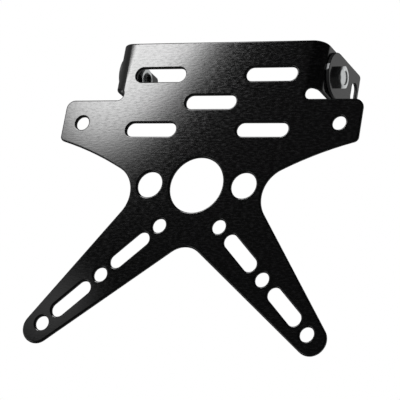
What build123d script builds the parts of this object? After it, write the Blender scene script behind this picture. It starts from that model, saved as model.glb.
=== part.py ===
from build123d import *
from math import cos, radians, sin, tan
import os

# Number plate bracket for a motorbike's tail, in millimetres.
# X runs to the right, Y to the rear and Z up.
# The origin is the centre of the large hole, on the plate's front face.

# Sheet metal
sheet = 2.5                     # thickness of the plate
bend_radius = 5.0               # inside radius of the two folds

# Upper part of the plate, with a flange folded back at each side
plate_top = 84.3
flange_span = 125.2             # over the outside faces of the flanges
flange_depth = 32.0             # from the front face to a flange's rear edge
flange_corner = 4.0
relief_height = 7.0             # notch between a flange and the wing below it

# Wings that carry the indicators
wing_span = 180.2
wing_top = 49.9
wing_depth = 23.9               # from the top edge to the lower corner, before it is rounded
wing_top_corner = 5.0
wing_bottom_corner = 3.0
wing_hollow = 200.0             # long hollow curve of a wing's lower edge
wing_hole = 8.0
wing_hole_edge = 12.3           # from the wing's end to the middle of its hole
wing_hole_drop = 13.8           # from the wing's top edge to the middle of its hole

# Legs: each tapers to a round end
leg_holes = 3                   # in each leg, with a slot in each gap
leg_hole = 8.2
leg_hole_near = (17.9, -23.7)   # hole nearest the middle, on the right leg
leg_hole_pitch = 41.8
leg_hole_angle = 43.5           # row of holes, below the horizontal
leg_slot_length = 26.6
leg_slot_width = 8.3
leg_angle = 46.0                # middle of the taper, below the horizontal
leg_taper = 16.2                # between the two edges of a leg
leg_tip_radius = 8.8
leg_tip_lead = 3.7              # from the end hole to the centre of the round end
waist_height = -0.7             # where leg and wing edges would meet
waist_radius = 17.2
crotch_radius = 13.0

# Holes in the middle of the plate
centre_hole = 32.0
side_hole = 15.0
side_hole_spread = 56.6
slot_length = 30.7
slot_width = 8.3
slot_spread = 67.4              # between the outer slots, left to right
slot_rise = 32.6                # between the upper and the lower row
slot_height = 48.5              # the single slot between the rows

# Arms that pivot outside the flanges and bolt to the bike
arm_sheet = 1.8                 # thickness of the arms
arm_width = 25.5
arm_nose = 14.6                 # from the pivot to the round front end
arm_reach = 28.6                # from the pivot to the rear end
arm_corner = 2.0
arm_slot_length = 12.0
arm_slot_width = 7.0
arm_slot_web = 2.8              # metal left behind the slot
pivot_drop = 13.2               # from the plate's top edge to the pivot
pivot_edge = 11.1               # from the pivot to the flange's rear edge

# Pivot fasteners
bolt_diameter = 8.0
bolt_length = 12.0
bolt_tip_chamfer = 1.0
bolt_hole_play = 0.4            # on the diameter, through plate and arm
head_height = 3.2
head_recess = 8.6               # shallow round hollow in the head's face
head_recess_depth = 0.5
hex_across_flats = 12.0
hex_sides = 6
hex_chamfer_angle = 30.0
nut_height = 6.5
thread_play = 0.1               # on the diameter, between bolt and nut

# Places that follow from the sizes above
flange_x = flange_span / 2
wing_x = wing_span / 2
wing_bottom = wing_top - wing_depth
wing_hole_spread = wing_span - 2 * wing_hole_edge
wing_hole_height = wing_top - wing_hole_drop
outer_bend = bend_radius + sheet
fold_x = flange_x - outer_bend
relief_radius = relief_height / 2
relief_z = wing_top + relief_radius
relief_length = outer_bend + relief_height
pivot_depth = flange_depth - pivot_edge
pivot_z = plate_top - pivot_drop
bolt_hole = bolt_diameter + bolt_hole_play
hex_half_side = 180 / hex_sides  # degrees from the middle of a flat to a corner
hex_corner_radius = hex_across_flats / 2 / cos(radians(hex_half_side))


def along(start, angle, distance):
    # point at a distance from start, heading right and down by the angle
    return (start[0] + distance * cos(radians(angle)), start[1] - distance * sin(radians(angle)))


def flip(point, side):
    # the same point on the right (1) or the left (-1)
    return (side * point[0], point[1])


# Corners of the right leg before rounding
leg_hole_end = along(leg_hole_near, leg_hole_angle, (leg_holes - 1) * leg_hole_pitch)
outer_angle = leg_angle + leg_taper / 2
inner_angle = leg_angle - leg_taper / 2
tip_overrun = leg_tip_radius / sin(radians(leg_taper / 2))
leg_point = along(leg_hole_end, leg_angle, leg_tip_lead + tip_overrun)
waist_x = leg_point[0] - (waist_height - leg_point[1]) / tan(radians(outer_angle))
waist = (waist_x, waist_height)
crotch = (0, leg_point[1] + leg_point[0] * tan(radians(inner_angle)))

os.makedirs("parts", exist_ok=True)


# Main plate: one cut and folded sheet
with BuildPart() as main_plate:
    # folds and flanges, drawn from above
    with BuildSketch(Plane.XY.offset(relief_z)):
        with BuildLine():
            RadiusArc((fold_x, 0), (flange_x, outer_bend), -outer_bend)
            Polyline(
                (flange_x, outer_bend),
                (flange_x, flange_depth),
                (flange_x - sheet, flange_depth),
                (flange_x - sheet, outer_bend),
            )
            RadiusArc((flange_x - sheet, outer_bend), (fold_x, sheet), bend_radius)
            Line((fold_x, sheet), (fold_x, 0))
        make_face()
        mirror(about=Plane.YZ)
    extrude(amount=plate_top - relief_z)

    # round-ended notch under each fold
    with BuildSketch(Plane.XZ):
        relief_x = fold_x + relief_length / 2
        with Locations((-relief_x, relief_z), (relief_x, relief_z)):
            SlotOverall(relief_length, relief_height)
    extrude(amount=-flange_depth, mode=Mode.SUBTRACT)

    fillet(main_plate.edges().filter_by(Axis.X).group_by(Axis.Y)[-1], flange_corner)

    # holes for the pivot bolts
    with BuildSketch(Plane.YZ):
        with Locations((pivot_depth, pivot_z)):
            Circle(bolt_hole / 2)
    extrude(amount=flange_x, both=True, mode=Mode.SUBTRACT)

    # flat sheet, seen from the front
    with BuildSketch(Plane.XZ) as blank:
        with BuildLine():
            Polyline(
                (0, plate_top),
                (fold_x, plate_top),
                (fold_x, wing_top),
                (wing_x, wing_top),
                (wing_x, wing_bottom),
            )
            RadiusArc((wing_x, wing_bottom), waist, -wing_hollow)
            Polyline(waist, leg_point, crotch)
            mirror(about=Plane.YZ)
        make_face()

        roundings = (
            ((fold_x, wing_top), relief_radius),
            ((wing_x, wing_top), wing_top_corner),
            ((wing_x, wing_bottom), wing_bottom_corner),
            (waist, waist_radius),
            (leg_point, leg_tip_radius),
        )
        for side in (-1, 1):
            for corner, radius in roundings:
                fillet(blank.vertices().sort_by_distance(flip(corner, side))[0], radius)
        fillet(blank.vertices().sort_by_distance(crotch)[0], crotch_radius)

        # round holes
        Circle(centre_hole / 2, mode=Mode.SUBTRACT)
        with GridLocations(side_hole_spread, 0, 2, 1):
            Circle(side_hole / 2, mode=Mode.SUBTRACT)
        with Locations((0, wing_hole_height)):
            with GridLocations(wing_hole_spread, 0, 2, 1):
                Circle(wing_hole / 2, mode=Mode.SUBTRACT)

        # slots between the wings
        with Locations((0, slot_height)):
            SlotOverall(slot_length, slot_width, mode=Mode.SUBTRACT)
            with GridLocations(slot_spread, slot_rise, 2, 2):
                SlotOverall(slot_length, slot_width, mode=Mode.SUBTRACT)

        # row of holes along each leg, with a slot midway between each two
        for side in (-1, 1):
            for step in range(leg_holes):
                hole_place = along(leg_hole_near, leg_hole_angle, step * leg_hole_pitch)
                with Locations(flip(hole_place, side)):
                    Circle(leg_hole / 2, mode=Mode.SUBTRACT)
            for step in range(leg_holes - 1):
                slot_place = along(leg_hole_near, leg_hole_angle, (step + 0.5) * leg_hole_pitch)
                with Locations(flip(slot_place, side)):
                    SlotOverall(
                        leg_slot_length,
                        leg_slot_width,
                        rotation=-side * leg_hole_angle,
                        mode=Mode.SUBTRACT,
                    )
    extrude(amount=-sheet)

main_plate.part.label = "main_plate"
export_step(main_plate.part, "parts/main_plate.step")


# Pieces of the two pivots, stacked outwards and inwards from each flange's outside face
arm_round_y = pivot_depth - arm_nose + arm_width / 2
arm_rear_y = pivot_depth + arm_reach
arm_slot_y = arm_rear_y - arm_slot_web - arm_slot_width / 2
head_seat = arm_sheet
nut_seat = -sheet

for side, hand in ((-1, "left"), (1, "right")):
    flange_face = Plane(origin=(side * flange_x, 0, 0), x_dir=(0, 1, 0), z_dir=(side, 0, 0))
    flange_up = side            # local y points down on the left
    pivot = (pivot_depth, flange_up * pivot_z)

    # Arm: flat strap with a round front end and an upright slot at the rear
    with BuildPart() as arm:
        with BuildSketch(flange_face) as strap:
            with Locations(((arm_round_y + arm_rear_y) / 2, flange_up * pivot_z)):
                Rectangle(arm_rear_y - arm_round_y, arm_width)
            fillet(strap.vertices().group_by(Axis.X)[-1], arm_corner)
            with Locations((arm_round_y, flange_up * pivot_z)):
                Circle(arm_width / 2)
            with Locations(pivot):
                Circle(bolt_hole / 2, mode=Mode.SUBTRACT)
            with Locations((arm_slot_y, flange_up * pivot_z)):
                SlotOverall(arm_slot_length, arm_slot_width, rotation=90, mode=Mode.SUBTRACT)
        extrude(amount=arm_sheet)
    arm.part.label = f"{hand}_arm"
    export_step(arm.part, f"parts/{hand}_arm.step")

    # Bolt: turned along the pivot axis, then cut to a hexagon
    axis_plane = Plane(
        origin=(side * flange_x, pivot_depth, pivot_z), x_dir=(side, 0, 0), z_dir=(0, 0, 1)
    )
    pivot_axis = Axis(axis_plane.origin, axis_plane.x_dir)
    chamfer_rise = (hex_corner_radius - hex_across_flats / 2) * tan(radians(hex_chamfer_angle))
    bolt_end = head_seat - bolt_length
    head_end = head_seat + head_height
    with BuildPart() as bolt:
        with BuildSketch(axis_plane):
            with BuildLine():
                Polyline(
                    (bolt_end, 0),
                    (bolt_end, bolt_diameter / 2 - bolt_tip_chamfer),
                    (bolt_end + bolt_tip_chamfer, bolt_diameter / 2),
                    (head_seat, bolt_diameter / 2),
                    (head_seat, hex_corner_radius),
                    (head_end - chamfer_rise, hex_corner_radius),
                    (head_end, hex_across_flats / 2),
                    (head_end, head_recess / 2),
                    (head_end - head_recess_depth, head_recess / 2 - head_recess_depth),
                    (head_end - head_recess_depth, 0),
                    close=True,
                )
            make_face()
        revolve(axis=pivot_axis)
        with BuildSketch(flange_face.offset(bolt_end)):
            with Locations(pivot):
                RegularPolygon(hex_across_flats / 2, hex_sides, major_radius=False)
        extrude(amount=bolt_length + head_height, mode=Mode.INTERSECT)
    bolt.part.label = f"{hand}_pivot_bolt"
    export_step(bolt.part, f"parts/{hand}_pivot_bolt.step")

    # Nut inside the flange, chamfered at both ends
    with BuildPart() as nut:
        with BuildSketch(axis_plane):
            with BuildLine():
                Polyline(
                    (nut_seat, (bolt_diameter + thread_play) / 2),
                    (nut_seat, hex_across_flats / 2),
                    (nut_seat - chamfer_rise, hex_corner_radius),
                    (nut_seat - nut_height + chamfer_rise, hex_corner_radius),
                    (nut_seat - nut_height, hex_across_flats / 2),
                    (nut_seat - nut_height, (bolt_diameter + thread_play) / 2),
                    close=True,
                )
            make_face()
        revolve(axis=pivot_axis)
        with BuildSketch(flange_face.offset(nut_seat - nut_height)):
            with Locations(pivot):
                RegularPolygon(hex_across_flats / 2, hex_sides, major_radius=False)
        extrude(amount=nut_height, mode=Mode.INTERSECT)
    nut.part.label = f"{hand}_nut"
    export_step(nut.part, f"parts/{hand}_nut.step")
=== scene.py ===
import math

import bmesh
import bpy
from mathutils import Matrix, Vector


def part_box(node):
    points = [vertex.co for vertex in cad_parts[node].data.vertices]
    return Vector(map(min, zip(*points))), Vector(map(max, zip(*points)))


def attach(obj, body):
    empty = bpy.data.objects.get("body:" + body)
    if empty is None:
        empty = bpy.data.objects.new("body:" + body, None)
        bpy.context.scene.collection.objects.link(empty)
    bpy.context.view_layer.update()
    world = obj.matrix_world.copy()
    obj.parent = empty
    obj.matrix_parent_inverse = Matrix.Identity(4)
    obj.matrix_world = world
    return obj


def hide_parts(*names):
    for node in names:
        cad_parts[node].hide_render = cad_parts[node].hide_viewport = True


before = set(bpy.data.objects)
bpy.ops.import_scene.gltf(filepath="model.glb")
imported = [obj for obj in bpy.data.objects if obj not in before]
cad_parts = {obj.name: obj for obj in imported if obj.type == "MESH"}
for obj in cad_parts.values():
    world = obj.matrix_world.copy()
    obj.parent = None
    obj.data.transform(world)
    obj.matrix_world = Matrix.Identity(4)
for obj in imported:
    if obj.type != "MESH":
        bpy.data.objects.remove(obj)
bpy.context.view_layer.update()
scene = bpy.context.scene
print("frame loaded:", ", ".join(sorted(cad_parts)))


# camera at the photograph's viewing angle, below the bracket and to its right
cameraSpec = {
    "place": (0.53468, -1.00225, -0.37652),
    "aim": (0.00432, 0.0, -0.00888),
    "roll": math.radians(10.12),
    "lens": 199.59,
    "sensor": 36.0,
    "clip": (0.05, 100.0),
}


def addCamera(spec):
    data = bpy.data.cameras.new("camera")
    data.lens = spec["lens"]
    data.sensor_width = spec["sensor"]
    data.clip_start, data.clip_end = spec["clip"]
    cam = bpy.data.objects.new("camera", data)
    place = Vector(spec["place"])
    look = (Vector(spec["aim"]) - place).to_track_quat("-Z", "Y").to_matrix().to_4x4()
    cam.matrix_world = Matrix.Translation(place) @ look @ Matrix.Rotation(spec["roll"], 4, "Z")
    scene.collection.objects.link(cam)
    scene.camera = cam


addCamera(cameraSpec)
print("camera set")


# small helpers for node trees
noiseSpan = (0.3, 0.7)  # most of a noise's values lie here


def newMaterial(name):
    mat = bpy.data.materials.new(name)
    mat.use_nodes = True
    return mat, mat.node_tree, mat.node_tree.nodes["Principled BSDF"]


def noiseOn(tree, stretch, detail):
    # noise on Object coordinates, stretch is in cycles per metre along X, Y and Z
    coords = tree.nodes.new("ShaderNodeTexCoord")
    mapping = tree.nodes.new("ShaderNodeMapping")
    mapping.inputs["Scale"].default_value = stretch
    noise = tree.nodes.new("ShaderNodeTexNoise")
    noise.inputs["Scale"].default_value = 1.0
    noise.inputs["Detail"].default_value = detail
    tree.links.new(coords.outputs["Object"], mapping.inputs["Vector"])
    tree.links.new(mapping.outputs["Vector"], noise.inputs["Vector"])
    return noise.outputs["Fac"]


def remap(tree, value, low, high, span=noiseSpan):
    # spreads the span of a value over low to high
    node = tree.nodes.new("ShaderNodeMapRange")
    node.inputs["From Min"].default_value = span[0]
    node.inputs["From Max"].default_value = span[1]
    node.inputs["To Min"].default_value = low
    node.inputs["To Max"].default_value = high
    tree.links.new(value, node.inputs["Value"])
    return node.outputs["Result"]


def combine(tree, how, first, second=0.0):
    node = tree.nodes.new("ShaderNodeMath")
    node.operation = how
    for socket, value in zip(node.inputs, (first, second)):
        if isinstance(value, (int, float)):
            socket.default_value = value
        else:
            tree.links.new(value, socket)
    return node.outputs["Value"]


def mixColour(tree, factor, first, second):
    # the colour sockets of a Mix node are inputs 6 and 7 and output 2
    node = tree.nodes.new("ShaderNodeMix")
    node.data_type = "RGBA"
    for socket, colour in zip(node.inputs[6:8], (first, second)):
        if isinstance(colour, tuple):
            socket.default_value = (*colour, 1.0)
        else:
            tree.links.new(colour, socket)
    tree.links.new(factor, node.inputs[0])
    return node.outputs[2]


def bumpFrom(tree, height, depth):
    node = tree.nodes.new("ShaderNodeBump")
    node.inputs["Strength"].default_value = 1.0
    node.inputs["Distance"].default_value = depth
    tree.links.new(height, node.inputs["Height"])
    return node.outputs["Normal"]


def axesOf(tree, vector):
    node = tree.nodes.new("ShaderNodeSeparateXYZ")
    tree.links.new(vector, node.inputs["Vector"])
    return node.outputs["X"], node.outputs["Y"], node.outputs["Z"]


# black satin coat over brushed sheet, the hairlines run level round the folds
blackCoat = {
    "dark": (0.0002, 0.0002, 0.0003),
    "pale": (0.0060, 0.0060, 0.0064),
    "hairline": (45.0, 45.0, 2600.0),
    "hairDetail": 4.0,
    "hairShare": 0.04,
    "mottle": (360.0, 360.0, 1100.0),
    "mottleDetail": 2.0,
    "paleSpan": (0.45, 0.75),  # the mottle goes from dark to pale over this
    "smooth": 0.050,
    "rough": 0.142,
    "haze": 0.20,
    "cutRough": 0.46,
    "cutDull": 0.60,
    "cutShade": (0.0030, 0.0030, 0.0032),
    "depth": 0.000012,
}

# the cut edges of the arms show paler
armCoat = {**blackCoat, "cutShade": (0.030, 0.030, 0.031)}

# cut edges are told by their depth in metres and by the slant of their normal
cutEdge = {"flatDepth": 0.0026, "sideways": 0.5, "level": 0.6, "rearBand": 0.0002}

# the flat sheet leans back a little before each fold, over a longer stretch near the top
foldLean = {
    "start": 0.0551,
    "slope": 0.085,
    "reach": (0.0012, 0.0085),
    "rise": (0.060, 0.086),  # height over which the reach grows
    "fadeIn": (0.052, 0.062),
}

# painted glint: a pale patch on the cut edge of the right arm's nose stands in for a highlight there
paintedGlint = {
    "place": (0.0635, 0.0063, 0.0713),
    "reach": (0.00126, 0.00234),
    "ragged": (900.0, 900.0, 900.0),
    "detail": 2.0,
    "colour": (0.62, 0.63, 0.64),
}


def plateCuts(tree, spec):
    # 1 on the sheared edges of the plate and its flanges
    coords = tree.nodes.new("ShaderNodeTexCoord")
    normal = [combine(tree, "ABSOLUTE", axis) for axis in axesOf(tree, coords.outputs["Normal"])]
    depth = axesOf(tree, coords.outputs["Object"])[1]
    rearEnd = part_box("main_plate")[1].y
    flat = combine(tree, "LESS_THAN", depth, spec["flatDepth"])
    side = combine(tree, "MULTIPLY", flat, combine(tree, "LESS_THAN", normal[1], spec["sideways"]))
    level = combine(tree, "GREATER_THAN", normal[2], spec["level"])
    rear = combine(tree, "GREATER_THAN", depth, rearEnd - spec["rearBand"])
    return combine(tree, "MAXIMUM", combine(tree, "MAXIMUM", side, level), rear)


def armCuts(tree, spec):
    # 1 all round the edge of an arm and in its holes
    coords = tree.nodes.new("ShaderNodeTexCoord")
    outward = combine(tree, "ABSOLUTE", axesOf(tree, coords.outputs["Normal"])[0])
    return combine(tree, "LESS_THAN", outward, spec["sideways"])


def leanToFolds(tree, spec):
    # depth of the sheet behind its flat plane, in metres
    coords = tree.nodes.new("ShaderNodeTexCoord")
    x, _, z = axesOf(tree, coords.outputs["Object"])
    reach = remap(tree, z, *spec["reach"], spec["rise"])
    inward = combine(tree, "SUBTRACT", combine(tree, "ABSOLUTE", x), spec["start"])
    past = combine(tree, "MAXIMUM", combine(tree, "ADD", inward, reach), 0.0)
    curved = combine(tree, "MINIMUM", past, reach)
    square = combine(tree, "MULTIPLY", curved, curved)
    bow = combine(tree, "DIVIDE", square, combine(tree, "MULTIPLY", reach, 2.0))
    drop = combine(tree, "ADD", bow, combine(tree, "SUBTRACT", past, curved))
    return combine(tree, "MULTIPLY", drop, remap(tree, z, 0.0, -spec["slope"], spec["fadeIn"]))


def patchOn(tree, spec):
    # 1 inside a ragged patch
    coords = tree.nodes.new("ShaderNodeTexCoord")
    away = tree.nodes.new("ShaderNodeVectorMath")
    away.operation = "DISTANCE"
    tree.links.new(coords.outputs["Object"], away.inputs[0])
    away.inputs[1].default_value = spec["place"]
    ragged = remap(tree, noiseOn(tree, spec["ragged"], spec["detail"]), *spec["reach"])
    return combine(tree, "LESS_THAN", away.outputs["Value"], ragged)


def makeBlackCoat(name, spec, cuts, lean=None, patch=None):
    mat, tree, skin = newMaterial(name)
    hair = noiseOn(tree, spec["hairline"], spec["hairDetail"])
    mottle = noiseOn(tree, spec["mottle"], spec["mottleDetail"])
    cut = cuts(tree, cutEdge)

    # colour
    spread = remap(tree, mottle, 0.0, 1.0, spec["paleSpan"])
    coat = mixColour(tree, spread, spec["dark"], spec["pale"])
    coat = mixColour(tree, cut, coat, spec["cutShade"])
    # painted glint: the pale patch on the cut edge stands in for a highlight
    if patch:
        glintMask = combine(tree, "MULTIPLY", cut, patchOn(tree, patch))
        coat = mixColour(tree, glintMask, coat, patch["colour"])
    tree.links.new(coat, skin.inputs["Base Color"])

    # gloss, hazy where the mottle is pale and dull on the cut edges
    hazy = combine(tree, "SUBTRACT", 1.0, combine(tree, "MULTIPLY", spread, spec["haze"]))
    dull = combine(tree, "SUBTRACT", 1.0, combine(tree, "MULTIPLY", cut, spec["cutDull"]))
    tree.links.new(combine(tree, "MULTIPLY", hazy, dull), skin.inputs["Specular Tint"])
    face = remap(tree, mottle, spec["smooth"], spec["rough"])
    extra = combine(tree, "MULTIPLY", cut, combine(tree, "SUBTRACT", spec["cutRough"], face))
    tree.links.new(combine(tree, "ADD", face, extra), skin.inputs["Roughness"])

    # relief in metres
    relief = combine(tree, "ADD", mottle, combine(tree, "MULTIPLY", hair, spec["hairShare"]))
    height = combine(tree, "MULTIPLY", relief, spec["depth"])
    if lean:
        height = combine(tree, "ADD", height, leanToFolds(tree, lean))
    tree.links.new(bumpFrom(tree, height, 1.0), skin.inputs["Normal"])
    return mat


# bright zinc plating on bolts and nuts
zincPlating = {
    "dull": (0.76, 0.79, 0.79),
    "bright": (0.91, 0.93, 0.93),
    "grain": (900.0, 900.0, 900.0),
    "detail": 4.0,
    "smooth": 0.13,
    "rough": 0.27,
    "depth": 0.000004,
}


def makeZinc(name, spec):
    mat, tree, skin = newMaterial(name)
    grain = noiseOn(tree, spec["grain"], spec["detail"])
    shade = mixColour(tree, remap(tree, grain, 0.0, 1.0), spec["dull"], spec["bright"])
    tree.links.new(shade, skin.inputs["Base Color"])
    tree.links.new(remap(tree, grain, spec["smooth"], spec["rough"]), skin.inputs["Roughness"])
    tree.links.new(bumpFrom(tree, grain, spec["depth"]), skin.inputs["Normal"])
    skin.inputs["Metallic"].default_value = 1.0
    return mat


plateFinish = makeBlackCoat("blackPlate", blackCoat, plateCuts, lean=foldLean)
armFinish = makeBlackCoat("blackArm", armCoat, armCuts, patch=paintedGlint)
zincFinish = makeZinc("zincPlating", zincPlating)
print("finishes made")


# edges are broken a little, as after cutting and tumbling
brokenEdge = {
    "plate": 0.00085,
    "arm": 0.0005,
    "nut": 0.00015,
    "segments": 4,
    "sharper": math.radians(40.0),
    "merge": 0.000001,
    "flatter": math.radians(0.4),
}

shadedEdge = math.radians(32.0)  # shading stays smooth up to this angle


def makeSmoothing(sharper):
    # smooth shading that stops at sharp edges
    tree = bpy.data.node_groups.new("smoothing", "GeometryNodeTree")
    for way in ("INPUT", "OUTPUT"):
        tree.interface.new_socket("Mesh", in_out=way, socket_type="NodeSocketGeometry")
    start = tree.nodes.new("NodeGroupInput")
    stop = tree.nodes.new("NodeGroupOutput")
    corner = tree.nodes.new("GeometryNodeInputMeshEdgeAngle")
    normals = tree.nodes.new("GeometryNodeSetMeshNormal")
    normals.mode = "SHARPNESS"
    normals.inputs["Remove Custom"].default_value = True
    sharp = combine(tree, "GREATER_THAN", corner.outputs["Unsigned Angle"], sharper)
    tree.links.new(sharp, normals.inputs["Edge Sharpness"])
    tree.links.new(start.outputs["Mesh"], normals.inputs["Mesh"])
    tree.links.new(normals.outputs["Mesh"], stop.inputs["Mesh"])
    return tree


smoothing = makeSmoothing(shadedEdge)


def smoothEdges(piece):
    shade = piece.modifiers.new("shade", "NODES")
    shade.node_group = smoothing
    level = piece.modifiers.new("level", "WEIGHTED_NORMAL")
    level.keep_sharp = True
    split = piece.modifiers.new("split", "TRIANGULATE")
    split.min_vertices = 5  # quads stay
    split.keep_custom_normals = True


def breakEdges(piece, kind, spec):
    weld = piece.modifiers.new("weld", "WELD")
    weld.merge_threshold = spec["merge"]
    flats = piece.modifiers.new("flats", "DECIMATE")
    flats.decimate_type = "DISSOLVE"
    flats.angle_limit = spec["flatter"]
    bevel = piece.modifiers.new("bevel", "BEVEL")
    bevel.width = spec[kind]
    bevel.segments = spec["segments"]
    bevel.limit_method = "ANGLE"
    bevel.angle_limit = spec["sharper"]
    bevel.use_clamp_overlap = False
    bevel.loop_slide = False
    smoothEdges(piece)


def finishNode(name, finish):
    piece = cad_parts[name]
    piece.data.materials.clear()
    piece.data.materials.append(finish)
    return piece


breakEdges(finishNode("main_plate", plateFinish), "plate", brokenEdge)
for hand in ("left", "right"):
    breakEdges(finishNode(f"{hand}_arm", armFinish), "arm", brokenEdge)
    breakEdges(finishNode(f"{hand}_nut", zincFinish), "nut", brokenEdge)
print("sheet and nuts finished")


# hex bolt with a rolled thread, turned with its head towards +Z and its seat at the origin
boltSpec = {
    "acrossFlats": 0.012,
    "sides": 6,
    "turn": math.radians(24.0),
    "chamfer": math.radians(30.0),
    "chamferSpare": 1.2,  # the chamfer runs on past the corners
    "blankSpare": 1.02,  # the round blank is a little wider than the corners
    "faceShare": 0.97,  # width of the flat face over the flats
    "recess": 0.0043,
    "recessDepth": 0.0005,
    "shank": 0.004,
    "pitch": 0.00125,
    "rootFlat": 1 / 4,  # flats of the thread, in shares of the pitch
    "crestFlat": (9 / 16, 11 / 16),
    "threadDepth": 0.00072,
    "spareTurns": 2,
    "tipChamfer": 0.0010,
    "roundSteps": 48,
    "merge": 0.0000001,
    "edge": 0.00012,
    "edgeSegments": 2,
    "sharper": math.radians(28.0),
}


def spinProfile(bm, profile, steps, climb=0.0, turns=1):
    # profile is a list of (radius, height), climb is the rise of one turn
    verts = [bm.verts.new((radius, 0.0, height)) for radius, height in profile]
    edges = [bm.edges.new(pair) for pair in zip(verts, verts[1:])]
    bmesh.ops.spin(
        bm, geom=verts + edges, cent=(0, 0, 0), axis=(0, 0, 1), dvec=(0, 0, climb / steps),
        angle=2 * math.pi * turns, steps=steps * turns, use_merge=climb == 0.0, use_duplicate=False,
    )


def cutAndFill(bm, point, outward):
    # drops what lies past the plane and closes the cut
    whole = bm.verts[:] + bm.edges[:] + bm.faces[:]
    cut = bmesh.ops.bisect_plane(bm, geom=whole, plane_co=point, plane_no=outward, clear_outer=True)
    rim = [edge for edge in cut["geom_cut"] if isinstance(edge, bmesh.types.BMEdge)]
    bmesh.ops.holes_fill(bm, edges=rim, sides=0)


def turnHead(spec, height):
    # a chamfered round blank, milled to its flats
    bm = bmesh.new()
    flat = spec["acrossFlats"] / 2
    corner = flat / math.cos(math.pi / spec["sides"])
    drop = (corner - flat) * math.tan(spec["chamfer"]) * spec["chamferSpare"]
    blank = corner * spec["blankSpare"]
    floor = height - spec["recessDepth"]
    outline = [
        (0.0, floor),
        (spec["recess"] - spec["recessDepth"], floor),
        (spec["recess"], height),
        (flat * spec["faceShare"], height),
        (blank, height - drop),
        (blank, 0.0),
        (0.0, 0.0),
    ]
    spinProfile(bm, outline, spec["roundSteps"] * 2)
    bmesh.ops.remove_doubles(bm, verts=bm.verts[:], dist=spec["merge"])
    for side in range(spec["sides"]):
        angle = spec["turn"] + 2 * math.pi / spec["sides"] * side
        outward = Vector((math.cos(angle), math.sin(angle), 0.0))
        cutAndFill(bm, outward * flat, outward)
    return bm


def rollThread(spec, start, length):
    # one pitch of the thread is drawn at the axis side and screwed down the shank
    bm = bmesh.new()
    pitch = spec["pitch"]
    crest = spec["shank"]
    root = crest - spec["threadDepth"]
    crestStart, crestStop = spec["crestFlat"]
    tip = start - length
    groove = [(root, 0.0), (root, spec["rootFlat"]), (crest, crestStart), (crest, crestStop), (root, 1.0)]
    profile = [(radius, tip - pitch + share * pitch) for radius, share in groove]
    turns = math.ceil(length / pitch) + spec["spareTurns"]
    spinProfile(bm, profile, spec["roundSteps"], pitch, turns)
    bmesh.ops.remove_doubles(bm, verts=bm.verts[:], dist=spec["merge"])
    cutAndFill(bm, Vector((0, 0, start)), Vector((0, 0, 1)))
    cutAndFill(bm, Vector((0, 0, tip)), Vector((0, 0, -1)))
    for vert in bm.verts:
        limit = crest - max(0.0, spec["tipChamfer"] - (vert.co.z - tip))
        radius = vert.co.xy.length
        if radius > limit:
            vert.co.xy *= limit / radius
    return bm


def addBolt(name, node, arm, side, spec):
    # side is 1 where the head points to +X and -1 where it points to -X
    low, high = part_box(node)
    armLow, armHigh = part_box(arm)
    seat = armHigh.x if side > 0 else armLow.x
    headEnd = high.x if side > 0 else low.x
    tipEnd = low.x if side > 0 else high.x
    bm = bmesh.new()
    for shape in (turnHead(spec, abs(headEnd - seat)), rollThread(spec, 0.0, abs(seat - tipEnd))):
        part = bpy.data.meshes.new("part")
        shape.to_mesh(part)
        shape.free()
        bm.from_mesh(part)
        bpy.data.meshes.remove(part)
    bmesh.ops.recalc_face_normals(bm, faces=bm.faces[:])
    middle = (low + high) / 2
    place = Matrix.Translation((seat, middle.y, middle.z)) @ Matrix.Rotation(side * math.pi / 2, 4, "Y")
    bmesh.ops.transform(bm, matrix=place, verts=bm.verts[:])
    mesh = bpy.data.meshes.new(name)
    bm.to_mesh(mesh)
    bm.free()
    mesh.materials.append(zincFinish)
    piece = bpy.data.objects.new(name, mesh)
    scene.collection.objects.link(piece)
    bevel = piece.modifiers.new("bevel", "BEVEL")
    bevel.width = spec["edge"]
    bevel.segments = spec["edgeSegments"]
    bevel.limit_method = "ANGLE"
    bevel.angle_limit = spec["sharper"]
    smoothEdges(piece)
    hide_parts(node)
    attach(piece, "plate")


for side, hand in ((-1, "left"), (1, "right")):
    addBolt(f"{hand}_threaded_bolt", f"{hand}_pivot_bolt", f"{hand}_arm", side, boltSpec)
print("bolts made")


# pale floor well below the camera, which the bracket doesn't mirror
floorSpec = {
    "height": -0.55,
    "half": 12.0,
    "pale": (0.88, 0.88, 0.88),
    "shaded": (0.8624, 0.8624, 0.8624),
    "cloud": (3.0, 3.0, 3.0),
    "detail": 2.0,
    "rough": 0.9,
}


def addFloor(spec):
    mat, tree, skin = newMaterial("paleFloor")
    cloud = noiseOn(tree, spec["cloud"], spec["detail"])
    tree.links.new(mixColour(tree, cloud, spec["pale"], spec["shaded"]), skin.inputs["Base Color"])
    skin.inputs["Roughness"].default_value = spec["rough"]
    bm = bmesh.new()
    bmesh.ops.create_grid(bm, x_segments=1, y_segments=1, size=spec["half"])
    bmesh.ops.translate(bm, verts=bm.verts[:], vec=(0, 0, spec["height"]))
    mesh = bpy.data.meshes.new("floor")
    bm.to_mesh(mesh)
    bm.free()
    mesh.materials.append(mat)
    floor = bpy.data.objects.new("floor", mesh)
    scene.collection.objects.link(floor)
    floor.visible_glossy = False


addFloor(floorSpec)
print("floor laid")


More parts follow.
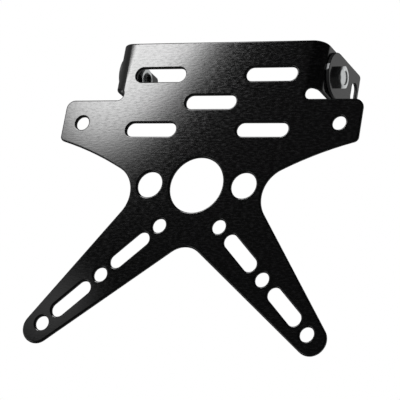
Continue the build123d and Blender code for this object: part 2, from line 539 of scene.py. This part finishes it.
# studio: white for the camera and even light on the part
# in reflections a bright band at the left front, a dim left, a dark front and right, and a soft right rear
studioSpec = {
    "even": (0.6, 0.6, 0.6),
    "shown": (1.0, 1.0, 1.0),
    "round": (  # bearing in degrees, 0 is right and 90 is the rear
        (-180, 0.28), (-160, 0.30), (-146, 0.36), (-138, 0.50), (-130, 1.2), (-126, 2.0), (-123.5, 0.05),
        (-106, 0.05), (-92, 0.01), (48, 0.01), (59, 0.50), (66, 0.58), (80, 0.70), (96, 0.50), (112, 0.12),
        (150, 0.12), (180, 0.28),
    ),
    "up": (  # share of that at a height, -1 is straight down
        (-1.0, 0.06), (-0.65, 0.1), (-0.35, 1.1), (-0.1, 1.3), (0.1, 1.0), (0.5, 1.0), (0.75, 0.1),
        (1.0, 0.06),
    ),
    "dark": ((-1.0, 0.07), (-0.1, 0.06), (0.1, 0.018), (1.0, 0.018)),  # added at a height
}


def rampOn(tree, value, stops):
    # stops are (place, level) pairs over the whole span of the value
    low = stops[0][0]
    high = stops[-1][0]
    ramp = tree.nodes.new("ShaderNodeValToRGB")
    elements = ramp.color_ramp.elements
    while len(elements) < len(stops):
        elements.new(0.5)
    for element, (place, level) in zip(elements, stops):
        element.position = (place - low) / (high - low)
        element.color = (level, level, level, 1.0)
    tree.links.new(remap(tree, value, 0.0, 1.0, (low, high)), ramp.inputs["Fac"])
    return ramp.outputs["Color"]


def addStudio(spec):
    world = bpy.data.worlds.new("studio")
    scene.world = world
    world.use_nodes = True
    tree = world.node_tree
    coords = tree.nodes.new("ShaderNodeTexCoord")
    x, y, z = axesOf(tree, coords.outputs["Generated"])
    bearing = combine(tree, "DEGREES", combine(tree, "ARCTAN2", y, x))
    around = rampOn(tree, bearing, spec["round"])
    cards = combine(tree, "MULTIPLY", around, rampOn(tree, z, spec["up"]))
    mirrored = combine(tree, "ADD", cards, rampOn(tree, z, spec["dark"]))
    rays = tree.nodes.new("ShaderNodeLightPath")
    level = mixColour(tree, rays.outputs["Is Camera Ray"], spec["even"], spec["shown"])
    level = mixColour(tree, rays.outputs["Is Glossy Ray"], level, mirrored)
    tree.links.new(level, tree.nodes["Background"].inputs["Color"])


addStudio(studioSpec)


# soft boxes, each placed so that the bracket mirrors it at one spot, with a feathered edge
# feather is the level at shares of the half width, from the middle out
lampSpec = {
    "softBox": {
        "mirrorAt": (-0.047, 0.0, 0.125),
        "facing": (0.0, -1.0, 0.0),
        "distance": 0.4,
        "turn": math.radians(-15.0),
        "size": (0.202, 0.501),
        "radiance": 17.4,
        "feather": (
            (0.0, 1.0), (0.34, 1.0), (0.39, 0.94), (0.445, 0.82), (0.50, 0.60), (0.54, 0.37),
            (0.59, 0.17), (0.67, 0.050), (0.74, 0.010), (0.84, 0.001), (0.92, 0.0), (1.0, 0.0),
        ),
    },
    "legCard": {
        "mirrorAt": (-0.074, 0.0, -0.072),
        "facing": (0.0, -1.0, 0.0),
        "distance": 0.4,
        "turn": 0.0,
        "size": (0.085, 0.085),
        "radiance": 0.8,
        "feather": ((0.0, 1.0), (0.4, 0.8), (0.8, 0.2), (1.0, 0.0)),
    },
}


def featherLamp(data, stops):
    # Parametric runs from 0 to 1 over the lamp, so its middle is at a half
    data.use_nodes = True
    tree = data.node_tree
    across = tree.nodes.new("ShaderNodeNewGeometry")
    centred = tree.nodes.new("ShaderNodeVectorMath")
    centred.operation = "SUBTRACT"
    centred.inputs[1].default_value = (0.5, 0.5, 0.0)
    tree.links.new(across.outputs["Parametric"], centred.inputs[0])
    outward = tree.nodes.new("ShaderNodeVectorMath")
    outward.operation = "LENGTH"
    tree.links.new(centred.outputs["Vector"], outward.inputs[0])
    share = combine(tree, "MULTIPLY", outward.outputs["Value"], 2.0)
    tree.links.new(rampOn(tree, share, stops), tree.nodes["Emission"].inputs["Color"])


def addLamp(name, spec):
    spot = Vector(spec["mirrorAt"])
    facing = Vector(spec["facing"]).normalized()
    ray = (spot - Vector(cameraSpec["place"])).normalized().reflect(facing)
    data = bpy.data.lights.new(name, "AREA")
    data.shape = "ELLIPSE"
    data.size, data.size_y = spec["size"]
    area = math.pi * data.size * data.size_y / 4
    data.energy = spec["radiance"] * math.pi * area
    featherLamp(data, spec["feather"])
    lamp = bpy.data.objects.new(name, data)
    aim = (-ray).to_track_quat("-Z", "Y").to_matrix().to_4x4() @ Matrix.Rotation(spec["turn"], 4, "Z")
    lamp.matrix_world = Matrix.Translation(spot + ray * spec["distance"]) @ aim
    lamp.visible_camera = False
    scene.collection.objects.link(lamp)


for name, spec in lampSpec.items():
    addLamp(name, spec)
scene.view_settings.view_transform = "Standard"
print("studio lit")
